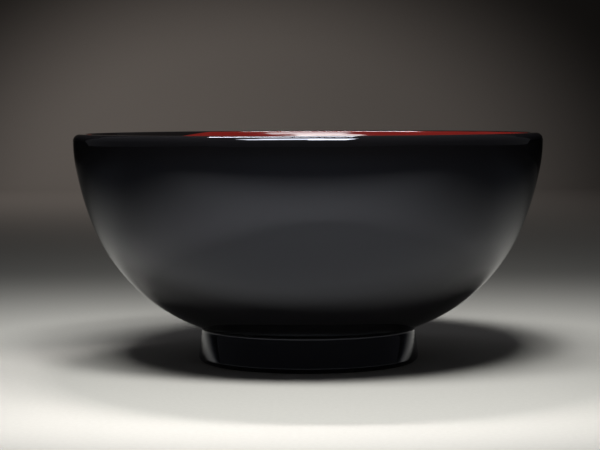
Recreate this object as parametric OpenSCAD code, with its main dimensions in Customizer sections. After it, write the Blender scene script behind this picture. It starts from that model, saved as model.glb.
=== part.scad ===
// Lacquered soup bowl on a turned foot, black outside and red inside, without a lid.
// Everything is turned about the Z axis. The foot stands on z = 0, and sizes are in millimetres.
// The finished surface is a chain of arcs. The same chain drawn deeper into the wall gives the
// boundary between two coats, so every coat and the wood under it meet face to face.

/* [Rim and wall] */
// Widest diameter, just under the lip
rim_d = 121; // [108:0.5:134]
// Finished thickness of the wall below the lip, coats included
wall_t = 4.8; // [4.4:0.1:5.2]
// Finished thickness of the lip, where its inside goes straight down
lip_t = 3.6; // [3.3:0.1:3.9]
// Rounding of the lip's outer edge
lip_out_r = 1.8; // [1.1:0.1:2.2]
// Rounding of the lip's inner edge
lip_in_r = 0.9; // [0.8:0.05:1.1]
// Radius of the ease, the slope by which the lip thickens into the wall on the inside
ease_r = 8; // [7:0.5:10]
// Radius of the wall where it turns in under the lip
turn_r = 38; // [30:1:50]
// Degrees of the turn under the lip
turn_angle = 11; // [8:0.5:14]
// Radius of the flank, the long and nearly straight part of the wall
flank_r = 83; // [65:1:100]
// Degrees of the flank
flank_angle = 10; // [7:0.5:13]
// Radius of the belly, which runs down to the foot
belly_r = 46.2; // [42:0.2:50]

/* [Floor and foot] */
// Finished thickness of the floor at its centre
floor_t = 4.8; // [4:0.1:6]
// How much the floor's centre dips below the lowest point of the belly's own circle
floor_dip = 1.1; // [0.6:0.1:1.6]
// Diameter of the foot, measured on the table
foot_d = 57.4; // [52:0.2:63]
// How much narrower the foot is at its top, on each side
foot_flare = 1; // [0:0.1:2]
// Height at which the belly's curve meets the foot
foot_h = 8.9; // [7.5:0.1:12]
// Thickness of the foot's ring at the table
foot_ring_t = 3.8; // [3.6:0.1:5]
// Rounding of the foot's outer edge on the table
foot_edge_r = 1.2; // [1:0.1:2]
// Rounding of the foot's inner edge on the table
foot_in_edge_r = 1; // [0.8:0.1:1.3]
// Hollow rounding between belly and foot
foot_fillet_r = 0.8; // [0.4:0.1:1.5]
// Hollow rounding between the foot's ring and the ceiling of its well
well_fillet_r = 1.6; // [0.8:0.1:2]

/* [Coats] */
// Thickness of the lacquer, all its coats together
lacquer_t = 0.25; // [0.15:0.05:0.3]
// Thickness of the hard ground under the lacquer
ground_t = 0.35; // [0.2:0.05:0.4]
// Degrees past the lip's top at which black gives way to red
rim_line_angle = 35; // [10:1:60]

/* [Hidden] */
$fn = 240;

// How far a chord may stand off the arc that it follows, and which points count as one
chord_sag = 0.015;
same_point = 0.01;

// Which way depth changes the radius of an arc: less on a bulging one, more on a hollow one
BULGE = -1;
HOLLOW = 1;

// A point at a distance and an angle from a centre
function polar(c, r, a) = c + r * [cos(a), sin(a)];

// How many chords an arc needs to keep within the sag, whatever the depth it is drawn at
function chords(r, sweep) =
    sweep == 0 || r == 0 ? 0 : max(2, ceil(abs(sweep) / (2 * acos(1 - chord_sag / r))));

// The points of one arc of the chain, a row of [centre, radius, way, from angle, to angle]
function arc_points(row, depth) =
    let (sweep = row[4] - row[3], n = chords(row[1], sweep))
    [
        for (i = [0:n])
        polar(row[0], row[1] + row[2] * depth, row[3] + (n == 0 ? 0 : sweep * i / n))
    ];

// The points of a whole chain, with each joint between two arcs kept once
function outline(chain, depth) =
    let (points = [for (row = chain) each arc_points(row, depth)])
    [
        for (i = [0:len(points) - 1])
        if (i == 0 || norm(points[i] - points[i - 1]) > same_point) points[i]
    ];

function backwards(points) = [for (i = [len(points) - 1:-1:0]) points[i]];

// Radii of the whole bowl, and angles of the wall measured from the upright
rim_r = rim_d / 2;
foot_r = foot_d / 2;
foot_top_r = foot_r - foot_flare;
well_r = foot_r - foot_ring_t;
coat_t = lacquer_t + ground_t;
flank_end = turn_angle + flank_angle;

// The three arcs of the wall touch one another, so each centre follows from the one above.
// Heights are first measured from the centre of the turn, and then from the table.
turn_x = rim_r - turn_r;
flank_x = turn_x + (turn_r - flank_r) * cos(turn_angle);
flank_up = (flank_r - turn_r) * sin(turn_angle);
belly_x = flank_x + (flank_r - belly_r) * cos(flank_end);
belly_up = flank_up - (flank_r - belly_r) * sin(flank_end);
join_angle = acos((foot_top_r - belly_x) / belly_r);
turn_z = foot_h + belly_r * sin(join_angle) - belly_up;

turn_c = [turn_x, turn_z];
flank_c = [flank_x, turn_z + flank_up];
belly_c = [belly_x, turn_z + belly_up];
bowl_h = turn_z + lip_out_r;

// The lip is a narrow flat top between two rounded edges
lip_out_c = [rim_r - lip_out_r, turn_z];
lip_in_c = [rim_r - lip_t + lip_in_r, bowl_h - lip_in_r];
rim_line = 90 + rim_line_angle;

// The ease touches the lip's inner edge, and then the hollow inside of the turn.
// Its centre closes a triangle with the centres of those two arcs.
lip_to_turn = lip_in_c - turn_c;
ease_side = ease_r - lip_in_r;
ease_reach = turn_r - wall_t + ease_r;
ease_angle = acos((ease_reach * ease_reach - lip_to_turn * lip_to_turn - ease_side * ease_side)
    / (2 * ease_side * norm(lip_to_turn))) - atan2(lip_to_turn[1], lip_to_turn[0]);
ease_c = polar(lip_in_c, ease_side, -ease_angle);
ease_end = atan2(turn_c[1] - ease_c[1], ease_c[0] - turn_c[0]);

// The floor is one shallow arc about the axis, touching the inside of the belly
belly_in_r = belly_r - wall_t;
floor_z = belly_c[1] - belly_in_r - floor_dip;
floor_angle = 90 - 2 * atan(floor_dip / belly_x);
floor_r = belly_in_r + belly_x / cos(floor_angle);
floor_c = [0, floor_z + floor_r];
well_h = floor_z - floor_t;

// The foot's outer side leans by the flare, and its edge touches that side and the table
lean = atan(foot_flare / foot_h);
side_out = [cos(lean), sin(lean)];
side_down = [sin(lean), -cos(lean)];
foot_top = [foot_top_r, foot_h];
edge_x = foot_top_r + (foot_h - foot_edge_r) * tan(lean) - foot_edge_r / cos(lean);
edge_c = [edge_x, foot_edge_r];
in_edge_c = [well_r + foot_in_edge_r, foot_in_edge_r];
well_c = [well_r - well_fillet_r, well_h - well_fillet_r];
well_top = [0, well_h];

// The hollow fillet touches the belly's circle from outside and the foot's side
fillet_from = foot_top + foot_fillet_r * side_out - belly_c;
fillet_run = fillet_from * side_down;
fillet_reach = belly_r + foot_fillet_r;
fillet_drop = sqrt(fillet_run * fillet_run - fillet_from * fillet_from + fillet_reach * fillet_reach)
    - fillet_run;
fillet_c = foot_top + fillet_drop * side_down + foot_fillet_r * side_out;
fillet_angle = atan2(fillet_c[1] - belly_c[1], fillet_c[0] - belly_c[0]);

// From the rim line over the lip, down the outside and down the foot's side
OUTSIDE = [
    [lip_in_c, lip_in_r, BULGE, rim_line, 90],
    [lip_out_c, lip_out_r, BULGE, 90, 0],
    [turn_c, turn_r, BULGE, 0, -turn_angle],
    [flank_c, flank_r, BULGE, -turn_angle, -flank_end],
    [belly_c, belly_r, BULGE, -flank_end, fillet_angle],
    [fillet_c, foot_fillet_r, HOLLOW, 180 + fillet_angle, 180 + lean],
    [edge_c, foot_edge_r, BULGE, lean, lean]
];

// Round the foot's edge, across the ring that stands on the table and up into the well
UNDERSIDE = [
    [edge_c, foot_edge_r, BULGE, lean, -90],
    [in_edge_c, foot_in_edge_r, BULGE, -90, -180],
    [well_c, well_fillet_r, HOLLOW, 0, 90],
    [well_top, 0, HOLLOW, 90, 90]
];

// From the rim line down the inside to the middle of the floor
INSIDE = [
    [lip_in_c, lip_in_r, BULGE, rim_line, 180 - ease_angle],
    [ease_c, ease_r, BULGE, 180 - ease_angle, 180 - ease_end],
    [turn_c, turn_r - wall_t, HOLLOW, -ease_end, -turn_angle],
    [flank_c, flank_r - wall_t, HOLLOW, -turn_angle, -flank_end],
    [belly_c, belly_in_r, HOLLOW, -flank_end, -floor_angle],
    [floor_c, floor_r, HOLLOW, -floor_angle, -90]
];

echo(bowl_h = bowl_h, floor_z = floor_z, well_h = well_h, contact_ring = [in_edge_c[0], edge_c[0]],
    ease_angle = ease_angle, ease_end = ease_end);

// One coat along a chain, between two depths
module coat(chain, from, to) {
    rotate_extrude()
        polygon(concat(outline(chain, from), backwards(outline(chain, to))));
}

// The turned wood: wall, floor and foot in one piece, under all the coats
module wood_core() {
    color([0.62, 0.44, 0.27])
        rotate_extrude()
            polygon(concat(
                outline(concat(OUTSIDE, UNDERSIDE), coat_t),
                backwards(outline(INSIDE, coat_t))
            ));
}

// Hard ground on the inside
module inner_ground() {
    color([0.30, 0.26, 0.23])
        coat(INSIDE, lacquer_t, coat_t);
}

// Hard ground over the lip, the outside, the foot and its well
module outer_ground() {
    color([0.26, 0.23, 0.21])
        coat(concat(OUTSIDE, UNDERSIDE), lacquer_t, coat_t);
}

// Red lacquer on the inside, up to the rim line
module red_lacquer() {
    color([0.55, 0.05, 0.04])
        coat(INSIDE, 0, lacquer_t);
}

// Black lacquer over the lip, down the outside and down the foot's side
module black_lacquer() {
    color([0.03, 0.03, 0.035])
        coat(OUTSIDE, 0, lacquer_t);
}

// Black lacquer on the foot's edge, where it stands, and in its well
module foot_lacquer() {
    color([0.05, 0.05, 0.055])
        coat(UNDERSIDE, 0, lacquer_t);
}

wood_core();
inner_ground();
outer_ground();
red_lacquer();
black_lacquer();
foot_lacquer();
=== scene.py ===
# %% [markdown]
# # A lacquered soup bowl, turned and coated in Blender
# This lesson dresses a finished CAD model of a small lacquered bowl. The bowl is one piece of
# turned wood under a hard ground, with red lacquer inside and black lacquer over the lip and the
# outside. We draw each coat's cross-section, spin it into a thin closed shell and give every
# layer a material. Then we light it with flat lamps close above it, because a glossy black thing
# is seen by what it mirrors.

# %% Load the CAD model as a fixed frame
import math

import bpy
from mathutils import Matrix, Vector


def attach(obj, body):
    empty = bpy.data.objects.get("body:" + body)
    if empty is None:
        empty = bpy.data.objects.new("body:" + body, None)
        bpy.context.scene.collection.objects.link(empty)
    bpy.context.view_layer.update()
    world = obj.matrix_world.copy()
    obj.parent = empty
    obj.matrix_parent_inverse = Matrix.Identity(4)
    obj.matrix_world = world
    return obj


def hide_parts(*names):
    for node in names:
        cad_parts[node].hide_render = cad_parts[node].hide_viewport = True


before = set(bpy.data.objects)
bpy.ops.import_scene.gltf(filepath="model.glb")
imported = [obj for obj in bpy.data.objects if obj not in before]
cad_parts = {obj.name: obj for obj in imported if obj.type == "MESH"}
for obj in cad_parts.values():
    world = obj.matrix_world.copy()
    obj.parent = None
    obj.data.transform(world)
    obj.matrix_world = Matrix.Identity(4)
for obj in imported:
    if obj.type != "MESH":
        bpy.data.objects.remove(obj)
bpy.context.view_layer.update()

MM = 0.001
BODY = "root"
print("CAD nodes:", sorted(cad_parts))

# %% [markdown]
# ## The camera
# The bowl was photographed from just above its rim, from about half a metre away and with a long
# lens. A camera could be placed by eye, but a rim seen this flat shows an error of a millimetre.
# So its distance, height, tilt and focal length come from fitting the bowl's outline to the
# picture, and the three turns are multiplied as matrices, because the roll happens about the
# camera's own axis.

# %% Place the camera
CAMERA_BACK = 487.5 * MM
CAMERA_UP = 64.9 * MM
PITCH, YAW, ROLL = 3.5, 0.246, -0.22
FOCAL_PIXELS, IMAGE_WIDTH = 1877.9, 600

lens = bpy.data.cameras.new("photo_camera")
camera = bpy.data.objects.new("photo_camera", lens)
bpy.context.scene.collection.objects.link(camera)
bpy.context.scene.camera = camera
lens.sensor_width = 36
lens.lens = FOCAL_PIXELS * lens.sensor_width / IMAGE_WIDTH
lens.clip_start, lens.clip_end = 0.02, 20
camera.matrix_world = (
    Matrix.Translation((0, -CAMERA_BACK, CAMERA_UP))
    @ Matrix.Rotation(math.radians(YAW), 4, "Z")
    @ Matrix.Rotation(math.radians(90 - PITCH), 4, "X")
    @ Matrix.Rotation(math.radians(ROLL), 4, "Z")
)
print("Lens in mm:", round(lens.lens, 2))

# %% [markdown]
# ## The bowl's outline
# A turned bowl is fully described by half of its cross-section. These are the sizes of the CAD
# model, in millimetres. The wall is three arcs that touch one another, so the centre of each
# follows from the one above it, as it would on a drawing board. On the inside the narrow lip
# eases into a thicker wall.

# %% Sizes of the wall, the lip and the foot
rim_r, lip_t, wall_t = 60.5, 3.6, 4.8
lip_out_r, lip_in_r, ease_r = 1.8, 0.9, 8
turn_r, turn_angle = 38, 11
flank_r, flank_angle = 83, 10
belly_r = 46.2
floor_t, floor_dip = 4.8, 1.1
foot_r, foot_flare, foot_h, foot_ring_t = 28.7, 1.0, 8.9, 3.8
foot_edge_r, foot_in_edge_r, foot_fillet_r, well_fillet_r = 1.2, 1, 0.8, 1.6
lacquer_t, rim_line = 0.25, 90 + 35
print("Width and foot in mm:", 2 * rim_r, 2 * foot_r)


# %% Angles in degrees, as on a drawing
def cos(a):
    return math.cos(math.radians(a))


def sin(a):
    return math.sin(math.radians(a))


def angle_of(x, z):
    return math.degrees(math.atan2(z, x))


def polar(centre, radius, a):
    return (centre[0] + radius * cos(a), centre[1] + radius * sin(a))


# %% Centres of the wall's arcs
foot_top_r = foot_r - foot_flare
well_r = foot_r - foot_ring_t
flank_end = turn_angle + flank_angle
turn_x = rim_r - turn_r
flank_x = turn_x + (turn_r - flank_r) * cos(turn_angle)
flank_up = (flank_r - turn_r) * sin(turn_angle)
belly_x = flank_x + (flank_r - belly_r) * cos(flank_end)
belly_up = flank_up - (flank_r - belly_r) * sin(flank_end)
join_angle = math.degrees(math.acos((foot_top_r - belly_x) / belly_r))
turn_z = foot_h + belly_r * sin(join_angle) - belly_up

turn_c = (turn_x, turn_z)
flank_c = (flank_x, turn_z + flank_up)
belly_c = (belly_x, turn_z + belly_up)
bowl_h = turn_z + lip_out_r

# %% Centres of the lip, and of the ease behind it
lip_out_c = (rim_r - lip_out_r, turn_z)
lip_in_c = (rim_r - lip_t + lip_in_r, bowl_h - lip_in_r)
ease_side = ease_r - lip_in_r
ease_reach = turn_r - wall_t + ease_r
lip_to_turn = (lip_in_c[0] - turn_c[0], lip_in_c[1] - turn_c[1])
lip_away = math.hypot(*lip_to_turn)
ease_angle = math.degrees(
    math.acos((ease_reach**2 - lip_away**2 - ease_side**2) / (2 * ease_side * lip_away))
) - angle_of(*lip_to_turn)
ease_c = polar(lip_in_c, ease_side, -ease_angle)
ease_end = angle_of(ease_c[0] - turn_c[0], turn_c[1] - ease_c[1])
print("The ease slopes from", round(ease_angle, 2), "to", round(ease_end, 2), "degrees")

# %% Centres of the floor and the foot
belly_in_r = belly_r - wall_t
floor_z = belly_c[1] - belly_in_r - floor_dip
floor_angle = 90 - 2 * math.degrees(math.atan(floor_dip / belly_x))
floor_r = belly_in_r + belly_x / cos(floor_angle)
floor_c = (0, floor_z + floor_r)
well_h = floor_z - floor_t

lean = math.degrees(math.atan(foot_flare / foot_h))
edge_x = (
    foot_top_r
    + (foot_h - foot_edge_r) * math.tan(math.radians(lean))
    - foot_edge_r / cos(lean)
)
edge_c = (edge_x, foot_edge_r)
in_edge_c = (well_r + foot_in_edge_r, foot_in_edge_r)
well_c = (well_r - well_fillet_r, well_h - well_fillet_r)
print("Floor and well in mm:", round(floor_z, 3), round(well_h, 3))

# %% Centre of the small hollow between belly and foot
from_x = foot_top_r + foot_fillet_r * cos(lean) - belly_c[0]
from_z = foot_h + foot_fillet_r * sin(lean) - belly_c[1]
fillet_run = from_x * sin(lean) - from_z * cos(lean)
fillet_drop = (
    math.sqrt(fillet_run**2 - from_x**2 - from_z**2 + (belly_r + foot_fillet_r) ** 2)
    - fillet_run
)
fillet_c = (
    foot_top_r + fillet_drop * sin(lean) + foot_fillet_r * cos(lean),
    foot_h - fillet_drop * cos(lean) + foot_fillet_r * sin(lean),
)
fillet_angle = angle_of(fillet_c[0] - belly_c[0], fillet_c[1] - belly_c[1])
print("Hollow at the foot in mm:", [round(c, 3) for c in fillet_c])

# %% [markdown]
# With the centres known, each surface is a chain of arcs. A row holds an arc's centre, its
# radius, its way and its two angles. The way says what depth does to the radius: under a bulging
# surface it shrinks, and under a hollow one it grows. So one chain serves for both sides of a
# coat.

# %% The three surfaces as chains of arcs
BULGE, HOLLOW = -1, 1

OUTSIDE = [
    (lip_in_c, lip_in_r, BULGE, rim_line, 90),
    (lip_out_c, lip_out_r, BULGE, 90, 0),
    (turn_c, turn_r, BULGE, 0, -turn_angle),
    (flank_c, flank_r, BULGE, -turn_angle, -flank_end),
    (belly_c, belly_r, BULGE, -flank_end, fillet_angle),
    (fillet_c, foot_fillet_r, HOLLOW, 180 + fillet_angle, 180 + lean),
    (edge_c, foot_edge_r, BULGE, lean, lean),
]
UNDERSIDE = [
    (edge_c, foot_edge_r, BULGE, lean, -90),
    (in_edge_c, foot_in_edge_r, BULGE, -90, -180),
    (well_c, well_fillet_r, HOLLOW, 0, 90),
    ((0, well_h), 0, HOLLOW, 90, 90),
]
INSIDE = [
    (lip_in_c, lip_in_r, BULGE, rim_line, 180 - ease_angle),
    (ease_c, ease_r, BULGE, 180 - ease_angle, 180 - ease_end),
    (turn_c, turn_r - wall_t, HOLLOW, -ease_end, -turn_angle),
    (flank_c, flank_r - wall_t, HOLLOW, -turn_angle, -flank_end),
    (belly_c, belly_in_r, HOLLOW, -flank_end, -floor_angle),
    (floor_c, floor_r, HOLLOW, -floor_angle, -90),
]
print("Arcs outside, below and inside:", len(OUTSIDE), len(UNDERSIDE), len(INSIDE))

# %% [markdown]
# ## Drawing with the spin tool
# An arc could be typed as a list of points, but the spin tool draws it as a pair of compasses
# would: one vertex is turned about the arc's centre and leaves its track behind. A plane merged
# to one vertex is the pencil's point, extrude draws the straight lines, and the same spin tool is
# later the lathe that turns the finished line about the bowl's axis.

# %% The pencil
LONGEST_CHORD_MM, WIDEST_TURN_DEG, SAME_POINT_MM = 0.7, 2.5, 0.001


def put_down_pencil(name, at):
    """A new object at the origin that holds one selected vertex, left in edit mode."""
    bpy.ops.object.select_all(action="DESELECT")
    bpy.ops.mesh.primitive_plane_add(size=MM, location=(0, 0, 0))
    piece = bpy.context.object
    piece.name = piece.data.name = name
    bpy.ops.object.mode_set(mode="EDIT")
    bpy.ops.mesh.select_mode(type="VERT")
    bpy.ops.mesh.select_all(action="SELECT")
    bpy.ops.mesh.merge(type="CENTER")
    bpy.ops.transform.translate(value=(at[0] * MM, 0, at[1] * MM))
    return piece


def draw_line(start, end):
    """A straight line in short steps; nothing is drawn if the pencil is there already."""
    if math.dist(start, end) > SAME_POINT_MM:
        steps = math.ceil(math.dist(start, end) / LONGEST_CHORD_MM)
        step = ((end[0] - start[0]) * MM / steps, 0, (end[1] - start[1]) * MM / steps)
        for _ in range(steps):
            bpy.ops.mesh.extrude_region_move(TRANSFORM_OT_translate={"value": step})
    return end


def draw_arc(start, centre, radius, from_angle, to_angle):
    """An arc about a centre, in steps that are short on a wide arc and narrow on a tight one."""
    pen = draw_line(start, polar(centre, radius, from_angle))
    sweep = to_angle - from_angle
    if sweep == 0 or radius == 0:
        return pen
    length = abs(math.radians(sweep)) * radius
    steps = max(2, math.ceil(max(length / LONGEST_CHORD_MM, abs(sweep) / WIDEST_TURN_DEG)))
    bpy.ops.mesh.spin(
        steps=steps,
        angle=math.radians(sweep),
        center=(centre[0] * MM, 0, centre[1] * MM),
        axis=(0, 1, 0),
    )
    return polar(centre, radius, to_angle)


# %% The lathe
LATHE_STEPS, SHARP_FROM_DEG = 256, 35
MERGE_WITHIN = 0.0005 * MM


def turn_on_lathe(piece):
    """Spins the drawn line once round the bowl's axis and closes the seam and the poles."""
    bpy.ops.mesh.select_all(action="SELECT")
    bpy.ops.mesh.spin(steps=LATHE_STEPS, angle=math.tau, center=(0, 0, 0), axis=(0, 0, 1))
    bpy.ops.mesh.select_all(action="SELECT")
    bpy.ops.mesh.remove_doubles(threshold=MERGE_WITHIN)
    bpy.ops.mesh.select_all(action="SELECT")
    bpy.ops.mesh.normals_make_consistent(inside=False)
    bpy.ops.object.mode_set(mode="OBJECT")
    bpy.ops.object.shade_smooth_by_angle(angle=math.radians(SHARP_FROM_DEG))
    print(piece.name, "has", len(piece.data.polygons), "faces")
    return piece


# %% [markdown]
# ## A coat of lacquer
# A coat follows its surface on the outside, and the same arcs a quarter of a millimetre deeper on
# the side where it meets the ground. Solidify could thicken a bare surface, but its corners would
# not meet the next coat. So the line runs up one side, across the coat's end and down the other.


# %% Spin one coat
def spin_coat(name, chain, outer_depth, inner_depth):
    """A closed shell along a chain of arcs, between two depths below the finished surface."""

    def drawn_radius(row, depth):
        return row[1] + row[2] * depth

    last = chain[-1]
    start = polar(last[0], drawn_radius(last, outer_depth), last[4])
    piece = put_down_pencil(name, start)
    pen = start
    for row in reversed(chain):
        pen = draw_arc(pen, row[0], drawn_radius(row, outer_depth), row[4], row[3])
    for row in chain:
        pen = draw_arc(pen, row[0], drawn_radius(row, inner_depth), row[3], row[4])
    if abs(start[0]) > SAME_POINT_MM:
        draw_line(pen, start)
    return turn_on_lathe(piece)


# %% [markdown]
# The black lacquer runs from the thin line inside the lip, over the lip, down the wall and down
# the side of the foot. It is the surface that the photograph is about.

# %% Black lacquer of the lip and the outside
black_coat = spin_coat("black_lacquer_outside", OUTSIDE, 0, lacquer_t)
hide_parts("black_lacquer")
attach(black_coat, BODY)

# %% [markdown]
# The red lacquer starts where the black one ends, a third of the way round the lip's inner edge.
# Its first two millimetres are all that the camera sees of it, over the near lip.

# %% Red lacquer of the inside
red_coat = spin_coat("red_lacquer_inside", INSIDE, 0, lacquer_t)
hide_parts("red_lacquer")
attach(red_coat, BODY)

# %% [markdown]
# The foot's edge and its well are lacquered last, when the bowl comes off the holder that held it
# by the foot. It is a coat of its own, and the only one that touches the table.

# %% Black lacquer of the foot's edge and well
foot_coat = spin_coat("black_lacquer_underside", UNDERSIDE, 0, lacquer_t)
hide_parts("foot_lacquer")
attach(foot_coat, BODY)


# %% [markdown]
# ## Shared effects
# Lacquer is never a plain colour. It is rubbed by hand, so its surface swells and sinks by a few
# thousandths of a millimetre; specks of dust are caught in it; and where it is wiped, it carries
# fine hairlines that run round the bowl. Each effect is a node group that is built once and
# placed in several materials with its own values. A group gives out only masks and heights. The
# shader stays in the material.


# %% Helpers for node groups
def new_group(name, inputs, outputs):
    """An empty shader node group with named number sockets, and its two end nodes."""
    group = bpy.data.node_groups.new(name, "ShaderNodeTree")
    for label, value in inputs:
        kind = "NodeSocketVector" if value is None else "NodeSocketFloat"
        socket = group.interface.new_socket(label, in_out="INPUT", socket_type=kind)
        if value is not None:
            socket.default_value = value
    for label in outputs:
        group.interface.new_socket(label, in_out="OUTPUT", socket_type="NodeSocketFloat")
    return group, group.nodes.new("NodeGroupInput"), group.nodes.new("NodeGroupOutput")


def maths(tree, operation, first, second=None, clamp=False):
    """A Math node fed by sockets or numbers; gives back its output."""
    node = tree.nodes.new("ShaderNodeMath")
    node.operation = operation
    node.use_clamp = clamp
    for socket, value in zip(node.inputs, (first, second)):
        if hasattr(value, "is_linked"):
            tree.links.new(value, socket)
        elif value is not None:
            socket.default_value = value
    return node.outputs[0]


def noise(tree, vector, scale, detail=2.0, roughness=0.5):
    """A noise texture on a vector, with its scale in waves per metre."""
    node = tree.nodes.new("ShaderNodeTexNoise")
    node.inputs["Detail"].default_value = detail
    node.inputs["Roughness"].default_value = roughness
    if hasattr(scale, "is_linked"):
        tree.links.new(scale, node.inputs["Scale"])
    else:
        node.inputs["Scale"].default_value = scale
    tree.links.new(vector, node.inputs["Vector"])
    return node.outputs["Fac"]


def times(tree, first, second):
    return maths(tree, "MULTIPLY", first, second)


def plus(tree, first, second, clamp=False):
    return maths(tree, "ADD", first, second, clamp)


def ramp_between(tree, value, low, high, to_low=0.0, to_high=1.0):
    """A smooth Map Range node from two values to two others, clamped at both ends."""
    node = tree.nodes.new("ShaderNodeMapRange")
    node.interpolation_type = "SMOOTHSTEP"
    ends = {"From Min": low, "From Max": high, "To Min": to_low, "To Max": to_high}
    for label, number in ends.items():
        node.inputs[label].default_value = number
    tree.links.new(value, node.inputs["Value"])
    return node.outputs["Result"]


# %% Group: round coordinates
def build_round_coordinates():
    """Turns a point into its distance from the bowl's axis, its height and its turn."""
    group, start, end = new_group(
        "round_coordinates", [("Vector", None)], ["Radius", "Height", "Turn"]
    )
    split = group.nodes.new("ShaderNodeSeparateXYZ")
    group.links.new(start.outputs["Vector"], split.inputs[0])
    x2 = times(group, split.outputs["X"], split.outputs["X"])
    y2 = times(group, split.outputs["Y"], split.outputs["Y"])
    radius = maths(group, "SQRT", plus(group, x2, y2))
    turn = maths(group, "ARCTAN2", split.outputs["Y"], split.outputs["X"])
    group.links.new(radius, end.inputs["Radius"])
    group.links.new(split.outputs["Z"], end.inputs["Height"])
    group.links.new(turn, end.inputs["Turn"])
    return group


round_coordinates = build_round_coordinates()
print("Built", round_coordinates.name)


# %% Group: hand rubbed surface
LINE_BEND, LINE_STRETCH, RADIUS_SHARE = 1.2 * MM, 0.6 * MM, 0.6


def build_hand_rubbed():
    """Slow swells of a hand-rubbed coat, and fine hairlines that run round the bowl."""
    group, start, end = new_group(
        "hand_rubbed",
        [("Vector", None), ("Swell Scale", 70.0), ("Hairline Scale", 2600.0), ("Hairlines", 0.5)],
        ["Swell", "Hairline"],
    )
    swell = noise(group, start.outputs["Vector"], start.outputs["Swell Scale"], 1.5, 0.4)
    group.links.new(swell, end.inputs["Swell"])
    around = group.nodes.new("ShaderNodeGroup")
    around.node_tree = round_coordinates
    group.links.new(start.outputs["Vector"], around.inputs["Vector"])
    bend = noise(group, start.outputs["Vector"], 90.0, 2.0, 0.5)
    height = plus(group, around.outputs["Height"], times(group, bend, LINE_BEND))
    lines = group.nodes.new("ShaderNodeCombineXYZ")
    group.links.new(times(group, around.outputs["Radius"], RADIUS_SHARE), lines.inputs["X"])
    group.links.new(times(group, around.outputs["Turn"], LINE_STRETCH), lines.inputs["Y"])
    group.links.new(height, lines.inputs["Z"])
    hair = noise(group, lines.outputs[0], start.outputs["Hairline Scale"], 3.0, 0.6)
    thin = ramp_between(group, hair, 0.58, 0.72)
    patch = ramp_between(group, noise(group, start.outputs["Vector"], 55.0, 2.0), 0.42, 0.68)
    shown = times(group, times(group, thin, patch), start.outputs["Hairlines"])
    group.links.new(shown, end.inputs["Hairline"])
    return group


hand_rubbed = build_hand_rubbed()
print("Built", hand_rubbed.name)


# %% Group: dust specks
SPECK_SIZE = 0.045


def build_dust():
    """A few round specks, each a small share of a cell's width, in only some of the cells."""
    group, start, end = new_group(
        "dust_specks", [("Vector", None), ("Cells", 160.0), ("Share", 0.2)], ["Speck"]
    )
    cells = group.nodes.new("ShaderNodeTexVoronoi")
    cells.feature = "F1"
    group.links.new(start.outputs["Vector"], cells.inputs["Vector"])
    group.links.new(start.outputs["Cells"], cells.inputs["Scale"])
    near = ramp_between(group, cells.outputs["Distance"], 0.0, SPECK_SIZE, 1.0, 0.0)
    chance = group.nodes.new("ShaderNodeSeparateColor")
    group.links.new(cells.outputs["Color"], chance.inputs[0])
    chosen = maths(group, "LESS_THAN", chance.outputs["Red"], start.outputs["Share"])
    group.links.new(times(group, near, chosen), end.inputs["Speck"])
    return group


dust_specks = build_dust()
print("Built", dust_specks.name)


# %% Helpers for materials
def new_material(name):
    """A material with an empty Principled shader; gives back the material, tree and shader."""
    material = bpy.data.materials.new(name)
    material.use_nodes = True
    tree = material.node_tree
    return material, tree, tree.nodes["Principled BSDF"]


def object_point(tree):
    return tree.nodes.new("ShaderNodeTexCoord").outputs["Object"]


def place_group(tree, group, point, **values):
    """A group node fed with the point, and with its own values."""
    node = tree.nodes.new("ShaderNodeGroup")
    node.node_tree = group
    tree.links.new(point, node.inputs["Vector"])
    for label, value in values.items():
        node.inputs[label.replace("_", " ")].default_value = value
    return node


def mix_colours(tree, factor, first, second):
    """A Mix node between two colours, which are sockets or lists."""
    node = tree.nodes.new("ShaderNodeMix")
    node.data_type = "RGBA"
    tree.links.new(factor, node.inputs["Factor"])
    for label, value in (("A", first), ("B", second)):
        socket = [s for s in node.inputs if s.name == label and s.type == "RGBA"][0]
        if hasattr(value, "is_linked"):
            tree.links.new(value, socket)
        else:
            socket.default_value = (*value, 1)
    return [s for s in node.outputs if s.type == "RGBA"][0]


def bump(tree, shader, layers):
    """Chains Bump nodes, each from a height socket and how high it rises in metres."""
    normal = None
    for height, rise in layers:
        node = tree.nodes.new("ShaderNodeBump")
        node.inputs["Strength"].default_value = 1
        node.inputs["Distance"].default_value = rise
        tree.links.new(height, node.inputs["Height"])
        if normal is not None:
            tree.links.new(normal, node.inputs["Normal"])
        normal = node.outputs["Normal"]
    tree.links.new(normal, shader.inputs["Normal"])


# %% [markdown]
# ## Black lacquer
# Seen straight on, this lacquer mirrors about a twentieth of the light, and far more towards its
# edges. A metal shader could be turned down to that, but it would not brighten at the edges. A
# true index of refraction does both. The mirror is tinted a little cool, and the colour under it
# is nearly nothing. The coat is polished, so the roughness is low and changes only with the
# hairlines and specks. Near the table the foot is rubbed duller by years of being put down.


# %% Make the black lacquer
BLACK_THIN, BLACK_DEEP = (0.0048, 0.0048, 0.0058), (0.0072, 0.0066, 0.0072)
BLACK_DUST, BLACK_WORN = (0.05, 0.048, 0.045), (0.016, 0.014, 0.013)
BLACK_INDEX, COOL_MIRROR = 1.56, (0.80, 0.84, 1.0, 1.0)
WEAR_HEIGHT, WEAR_RAGGED, WEAR_DULL = 0.9 * MM, 1.6 * MM, 0.32


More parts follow.
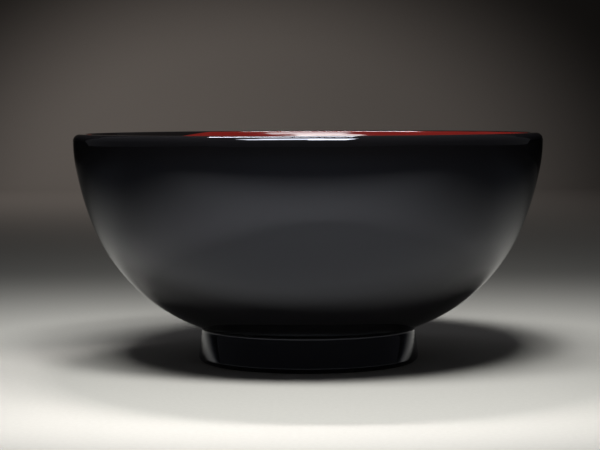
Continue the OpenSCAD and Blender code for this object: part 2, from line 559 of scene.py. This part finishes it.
def make_black_lacquer(name, gloss, wear):
    material, tree, shader = new_material(name)
    point = object_point(tree)
    rubbed = place_group(tree, hand_rubbed, point, Swell_Scale=62.0, Hairlines=0.8)
    specks = place_group(tree, dust_specks, point, Cells=190.0, Share=0.16)
    around = place_group(tree, round_coordinates, point)

    depth = noise(tree, point, 45.0, 3.0)
    colour = mix_colours(tree, depth, BLACK_THIN, BLACK_DEEP)
    colour = mix_colours(tree, specks.outputs["Speck"], colour, BLACK_DUST)

    edge = maths(tree, "SUBTRACT", noise(tree, point, 420.0, 4.0), 0.5)
    low = plus(tree, around.outputs["Height"], times(tree, edge, WEAR_RAGGED))
    worn = ramp_between(tree, low, 0.0, WEAR_HEIGHT, wear, 0.0)
    colour = mix_colours(tree, worn, colour, BLACK_WORN)
    tree.links.new(colour, shader.inputs["Base Color"])

    haze = ramp_between(tree, noise(tree, point, 28.0, 2.0), 0.35, 0.7, gloss, gloss * 1.5)
    dull = plus(tree, haze, times(tree, rubbed.outputs["Hairline"], 0.10))
    dull = plus(tree, dull, times(tree, worn, WEAR_DULL))
    dull = plus(tree, dull, times(tree, specks.outputs["Speck"], 0.3), clamp=True)
    tree.links.new(dull, shader.inputs["Roughness"])
    shader.inputs["IOR"].default_value = BLACK_INDEX
    shader.inputs["Specular Tint"].default_value = COOL_MIRROR

    bump(
        tree,
        shader,
        [
            (rubbed.outputs["Swell"], 0.012 * MM),
            (rubbed.outputs["Hairline"], -0.0004 * MM),
            (specks.outputs["Speck"], 0.02 * MM),
        ],
    )
    return material


black_lacquer = make_black_lacquer("black_lacquer_polished", gloss=0.022, wear=0.5)
foot_lacquer = make_black_lacquer("black_lacquer_foot", gloss=0.028, wear=0.9)
print("Made", black_lacquer.name, "and", foot_lacquer.name)

# %% [markdown]
# ## Red lacquer
# The red is a pigment in the same resin, ground fine but never quite even, so it drifts between a
# deep and a brighter red in soft clouds. It is a little less polished than the black. Where the
# two meet, the brush leaves a line that wanders by a tenth of a millimetre. At the far left it
# sinks by a millimetre more, which is why the camera sees no red there. A second coat could be
# modelled for that, but a paint line on a smooth surface is only colour, so it is made with a
# mask.


# %% Where black ends on the inside of the lip
LINE_HEIGHT = (bowl_h - lip_in_r * (1 - sin(rim_line))) * MM
LINE_WANDER, LINE_SAG = 0.22 * MM, 1.2 * MM
SAG_FROM, SAG_TO = (2.05, 2.3), (2.8, 3.1)
print("The line is at", round(LINE_HEIGHT / MM, 2), "mm")


def black_over_red(tree, point, around):
    """A mask that is 1 above the painted line, which wanders and sags at the far left."""
    wander = maths(tree, "SUBTRACT", noise(tree, point, 130.0, 2.0), 0.5)
    brushed = plus(tree, around.outputs["Height"], times(tree, wander, LINE_WANDER))
    starts = ramp_between(tree, around.outputs["Turn"], *SAG_FROM, 0.0, LINE_SAG)
    ends = ramp_between(tree, around.outputs["Turn"], *SAG_TO, 1.0, 0.0)
    brushed = plus(tree, brushed, times(tree, starts, ends))
    return ramp_between(tree, brushed, LINE_HEIGHT - 0.05 * MM, LINE_HEIGHT - 0.02 * MM)


# %% Make the red lacquer
RED_DEEP, RED_BRIGHT = (0.15, 0.010, 0.008), (0.21, 0.015, 0.011)
RED_GRAIN, RED_DUST = (0.11, 0.007, 0.006), (0.55, 0.16, 0.12)
BLACK_PAINT, RED_INDEX = (0.006, 0.005, 0.005), 1.5


def make_red_lacquer():
    material, tree, shader = new_material("red_lacquer_polished")
    point = object_point(tree)
    rubbed = place_group(tree, hand_rubbed, point, Swell_Scale=55.0, Hairlines=0.7)
    specks = place_group(tree, dust_specks, point, Cells=150.0, Share=0.14)
    around = place_group(tree, round_coordinates, point)

    cloud = noise(tree, point, 60.0, 4.0, 0.55)
    colour = mix_colours(tree, cloud, RED_DEEP, RED_BRIGHT)
    grainy = ramp_between(tree, noise(tree, point, 2400.0, 2.0), 0.45, 0.75, 0.0, 0.35)
    colour = mix_colours(tree, grainy, colour, RED_GRAIN)
    colour = mix_colours(tree, specks.outputs["Speck"], colour, RED_DUST)
    colour = mix_colours(tree, black_over_red(tree, point, around), colour, BLACK_PAINT)
    tree.links.new(colour, shader.inputs["Base Color"])

    haze = ramp_between(tree, noise(tree, point, 30.0, 2.0), 0.35, 0.7, 0.07, 0.12)
    dull = plus(tree, haze, times(tree, rubbed.outputs["Hairline"], 0.12))
    tree.links.new(dull, shader.inputs["Roughness"])
    shader.inputs["IOR"].default_value = RED_INDEX
    bump(
        tree,
        shader,
        [
            (rubbed.outputs["Swell"], 0.014 * MM),
            (rubbed.outputs["Hairline"], -0.0006 * MM),
            (specks.outputs["Speck"], 0.02 * MM),
        ],
    )
    return material


red_lacquer = make_red_lacquer()
print("Made", red_lacquer.name)

# %% [markdown]
# ## What lies under the lacquer
# The wood and the ground can't be seen on a finished bowl, but they are pieces of it, and someone
# who hides a coat should find real ones. The wood is turned from a blank with its grain lying
# flat, so the year rings are planks of light and dark across the bowl. The ground is clay and raw
# lacquer, matt and rubbed flat.


# %% Make the turned wood
WOOD_LIGHT, WOOD_LATE, WOOD_PORE = (0.62, 0.42, 0.24), (0.40, 0.23, 0.11), (0.22, 0.12, 0.06)


def make_turned_wood():
    material, tree, shader = new_material("wood_grain")
    point = object_point(tree)
    tilt = tree.nodes.new("ShaderNodeMapping")
    tilt.inputs["Rotation"].default_value = (0.06, 0.03, 0.4)
    tilt.inputs["Scale"].default_value = (1.0, 0.12, 1.0)
    tree.links.new(point, tilt.inputs["Vector"])
    rings = tree.nodes.new("ShaderNodeTexWave")
    rings.wave_type, rings.bands_direction = "BANDS", "X"
    rings.inputs["Scale"].default_value = 95.0
    rings.inputs["Distortion"].default_value = 5.0
    rings.inputs["Detail"].default_value = 3.0
    rings.inputs["Detail Scale"].default_value = 1.2
    tree.links.new(tilt.outputs[0], rings.inputs["Vector"])
    late = ramp_between(tree, rings.outputs["Fac"], 0.25, 0.95)
    colour = mix_colours(tree, late, WOOD_LIGHT, WOOD_LATE)
    pores = tree.nodes.new("ShaderNodeMapping")
    pores.inputs["Scale"].default_value = (1.0, 0.04, 1.0)
    tree.links.new(point, pores.inputs["Vector"])
    pore = ramp_between(tree, noise(tree, pores.outputs[0], 2600.0, 3.0), 0.56, 0.72)
    colour = mix_colours(tree, pore, colour, WOOD_PORE)
    tree.links.new(colour, shader.inputs["Base Color"])
    dull = ramp_between(tree, rings.outputs["Fac"], 0, 1, 0.62, 0.5)
    tree.links.new(dull, shader.inputs["Roughness"])
    bump(tree, shader, [(late, 0.02 * MM), (pore, -0.03 * MM)])
    return material


turned_wood = make_turned_wood()
print("Made", turned_wood.name)


# %% Make the hard ground
GROUND_DARK, GROUND_PALE = (0.10, 0.085, 0.075), (0.17, 0.145, 0.125)
GROUND_GRIT = (0.26, 0.23, 0.2)


def make_hard_ground():
    material, tree, shader = new_material("ground_matt")
    point = object_point(tree)
    cloud = noise(tree, point, 110.0, 4.0)
    grit = noise(tree, point, 3200.0, 2.0)
    colour = mix_colours(tree, cloud, GROUND_DARK, GROUND_PALE)
    colour = mix_colours(tree, ramp_between(tree, grit, 0.6, 0.8), colour, GROUND_GRIT)
    tree.links.new(colour, shader.inputs["Base Color"])
    tree.links.new(ramp_between(tree, grit, 0.3, 0.7, 0.7, 0.9), shader.inputs["Roughness"])
    bump(tree, shader, [(grit, 0.01 * MM)])
    return material


hard_ground = make_hard_ground()
print("Made", hard_ground.name)


# %% Give every piece its material
def dress(piece, material):
    piece.data.materials.clear()
    piece.data.materials.append(material)


dress(black_coat, black_lacquer)
dress(red_coat, red_lacquer)
dress(foot_coat, foot_lacquer)
dress(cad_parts["wood_core"], turned_wood)
dress(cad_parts["inner_ground"], hard_ground)
dress(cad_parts["outer_ground"], hard_ground)
dress(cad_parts["black_lacquer"], black_lacquer)
dress(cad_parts["red_lacquer"], red_lacquer)
dress(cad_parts["foot_lacquer"], foot_lacquer)
print("Dressed", 3 + len(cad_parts), "pieces")

# %% [markdown]
# ## Floor and backdrop
# The bowl stands on one long sheet of pale paper that runs back and curves up into a wall, as a
# photographer lays it. Where it curves there is no edge to see. Its front end is painted dark, as
# painted shade for the dark of the room, and that matters more than it seems: the upper half of
# the black wall mirrors exactly this part of the floor, and turns black because of it.

# %% Lay the sheet
FLOOR_HALF, FLOOR_FRONT, FLOOR_BACK = 1.3, -1.1, 1.05
SWEEP_R, SWEEP_STEPS, WALL_TOP, BELOW_FOOT = 0.25, 24, 0.9, 0.02 * MM

bpy.ops.object.select_all(action="DESELECT")
bpy.ops.mesh.primitive_plane_add(size=1, location=(0, 0, 0))
floor = bpy.context.object
floor.name = floor.data.name = "paper_sheet"
bpy.ops.object.mode_set(mode="EDIT")
bpy.ops.mesh.select_all(action="SELECT")
bpy.ops.transform.resize(value=(2 * FLOOR_HALF, FLOOR_BACK - FLOOR_FRONT, 1))
bpy.ops.transform.translate(value=(0, (FLOOR_BACK + FLOOR_FRONT) / 2, -BELOW_FOOT))
bpy.ops.object.mode_set(mode="OBJECT")

# %% Curve its back end up into a wall
bpy.ops.object.mode_set(mode="EDIT")
bpy.ops.mesh.select_mode(type="EDGE")
bpy.ops.mesh.select_all(action="DESELECT")
bpy.ops.object.mode_set(mode="OBJECT")
for edge in floor.data.edges:
    ends = [floor.data.vertices[v].co.y for v in edge.vertices]
    edge.select = min(ends) > FLOOR_BACK - MM
bpy.ops.object.mode_set(mode="EDIT")
bpy.ops.mesh.spin(
    steps=SWEEP_STEPS,
    angle=math.radians(90),
    center=(0, FLOOR_BACK, SWEEP_R - BELOW_FOOT),
    axis=(-1, 0, 0),
)
bpy.ops.mesh.extrude_region_move(TRANSFORM_OT_translate={"value": (0, 0, WALL_TOP - SWEEP_R)})
bpy.ops.mesh.select_all(action="SELECT")
bpy.ops.mesh.remove_doubles(threshold=0.01 * MM)
bpy.ops.object.mode_set(mode="OBJECT")
bpy.ops.object.shade_smooth_by_angle(angle=math.radians(30))
print("The sheet reaches", [round(c, 3) for c in floor.bound_box[6]])


# %% [markdown]
# The paper is cream and slightly fibrous. Round the bowl it is in full light. Towards the room,
# to both sides and towards the back the light ends. Flags in front of every lamp could shape
# that, but their shadows would be hard to steer apart. So the soft edges are painted into the
# paper's colour as fades, and the far one is a round pool on the backdrop.


# %% Where the light near the bowl ends
LIT_FRONT, LIT_WIDTH, LIT_WIDENS = 0.095, 2.4, 5.0
FADE_STARTS, FADE_ENDS = 0.018, 0.088


def squared(tree, value):
    return times(tree, value, value)


def painted_shade_mask(tree, split):
    """A mask of painted shade that grows from 0 in the light to 1 towards the room and to both
    sides.
    """
    behind = maths(tree, "MAXIMUM", split.outputs["Y"], 0.0)
    in_front = maths(tree, "MINIMUM", plus(tree, split.outputs["Y"], LIT_FRONT), 0.0)
    spread = plus(tree, times(tree, behind, LIT_WIDENS), LIT_WIDTH)
    sideways = maths(tree, "DIVIDE", split.outputs["X"], spread)
    away = maths(tree, "SQRT", plus(tree, squared(tree, sideways), squared(tree, in_front)))
    return ramp_between(tree, away, FADE_STARTS, FADE_ENDS)


# %% Painted light on the paper from front to back
NEAR_FADE, NEAR_DIM = (-0.03, 0.05), 0.68
FAR_FADE, FAR_DIM = (0.05, 0.28), 0.38
POOL_LEFT, POOL_FLATTENS = 0.045, 1.55
POOL_FADE, POOL_DIM, BACKDROP_STARTS = (0.175, 0.39), 0.13, (0.25, 0.6)


def painted_light_factor(tree, split):
    """A factor of painted light that dims the near and far floor and leaves a painted pool on the
    backdrop.
    """
    near = ramp_between(tree, split.outputs["Y"], *NEAR_FADE, NEAR_DIM, 1.0)
    far = ramp_between(tree, split.outputs["Y"], *FAR_FADE, 1.0, FAR_DIM)
    pool_x = plus(tree, split.outputs["X"], POOL_LEFT)
    pool_z = times(tree, split.outputs["Z"], POOL_FLATTENS)
    from_pool = maths(tree, "SQRT", plus(tree, squared(tree, pool_x), squared(tree, pool_z)))
    backdrop = ramp_between(tree, split.outputs["Y"], *BACKDROP_STARTS)
    pool = ramp_between(tree, times(tree, from_pool, backdrop), *POOL_FADE, 1.0, POOL_DIM)
    return times(tree, times(tree, near, far), pool)


# %% Make the paper
CREAM, PALE_CREAM = (0.79, 0.77, 0.715), (0.82, 0.80, 0.745)
# Painted shade colour for the paper towards the room, and black for the painted fall-off of
# light.
PAINTED_ROOM_SHADE, PAINTED_NO_LIGHT = (0.072, 0.078, 0.09), (0.0, 0.0, 0.0)


def make_paper():
    material, tree, shader = new_material("pale_paper")
    point = object_point(tree)
    split = tree.nodes.new("ShaderNodeSeparateXYZ")
    tree.links.new(point, split.inputs[0])
    fibre = noise(tree, point, 900.0, 4.0)
    cream = mix_colours(tree, ramp_between(tree, fibre, 0.3, 0.7), CREAM, PALE_CREAM)
    # Painted shade: the paper's colour darkens towards the room and to both sides.
    shown = mix_colours(tree, painted_shade_mask(tree, split), cream, PAINTED_ROOM_SHADE)
    # Painted light: the paper's colour is dimmed front and back, with a painted pool of light on
    # the backdrop.
    shown = mix_colours(tree, painted_light_factor(tree, split), PAINTED_NO_LIGHT, shown)
    tree.links.new(shown, shader.inputs["Base Color"])
    shader.inputs["Roughness"].default_value = 0.85
    shader.inputs["Specular IOR Level"].default_value = 0.2
    bump(tree, shader, [(fibre, 0.02 * MM)])
    return material


dress(floor, make_paper())
print("Made the paper")

# %% [markdown]
# ## Light
# Two flat lamps hang above the bowl and a hand's width in front of it. They light the floor, and
# the edges of their shadows lie round the foot. A low strip throws a thin light on the floor in
# front, and a far lamp lights the backdrop. The white lines on the lip are mirror images of two
# more lamps that light nothing else. One lamp could do both jobs, but then its line and its
# shadow could not be placed one by one. The world is the dim room, which the top of the wall
# mirrors.


# %% Hang the lamps
def hang_lamp(name, at, size, power, colour, aim=None, spread=180, lights=True, mirrored=True):
    """A flat lamp; it can be left out of what it would light, or of what would mirror it."""
    light = bpy.data.lights.new(name, "AREA")
    light.shape = "RECTANGLE"
    light.size, light.size_y = size
    light.energy = power
    light.color = colour
    light.spread = math.radians(spread)
    lamp = bpy.data.objects.new(name, light)
    bpy.context.scene.collection.objects.link(lamp)
    lamp.location = at
    if aim is not None:
        lamp.rotation_euler = (Vector(aim) - Vector(at)).to_track_quat("-Z", "Y").to_euler()
    lamp.visible_diffuse = lights
    lamp.visible_glossy = mirrored
    print(name, "at", [round(c, 3) for c in at])


NEUTRAL, WARM, COOL = (0.97, 0.98, 0.975), (1.0, 0.87, 0.82), (0.97, 0.98, 1.0)
PINKISH, LILAC = (1.0, 0.95, 0.96), (1.0, 0.95, 1.0)

hang_lamp("left_lamp", (-0.050, -0.147, 0.338), (0.158, 0.090), 0.89, NEUTRAL)
hang_lamp("right_lamp", (0.036, -0.152, 0.275), (0.070, 0.073), 0.51, NEUTRAL)
hang_lamp(
    "low_lamp", (-0.020, 0.062, 0.219), (0.083, 0.011), 0.058, PINKISH,
    aim=(-0.02, -0.09, 0.0), spread=58, mirrored=False,
)
hang_lamp(
    "backdrop_lamp", (-0.25, 0.77, 0.60), (0.12, 0.12), 0.88, WARM,
    aim=(-0.20, 1.20, 0.0), spread=150, mirrored=False,
)
hang_lamp("lip_lamp", (0.0, -0.115, 0.420), (0.20, 0.07), 0.57, COOL, lights=False)
hang_lamp("rim_lamp", (-0.020, 0.070, 0.230), (0.105, 0.012), 0.30, LILAC, lights=False)

# %% Set the room's light
ROOM_GREY = (0.035, 0.035, 0.037, 1)

world = bpy.data.worlds.new("dim_room")
bpy.context.scene.world = world
world.use_nodes = True
room = world.node_tree.nodes["Background"]
room.inputs["Color"].default_value = ROOM_GREY
room.inputs["Strength"].default_value = 1
bpy.context.scene.view_settings.view_transform = "Standard"
print("The room's light is", ROOM_GREY[:3])
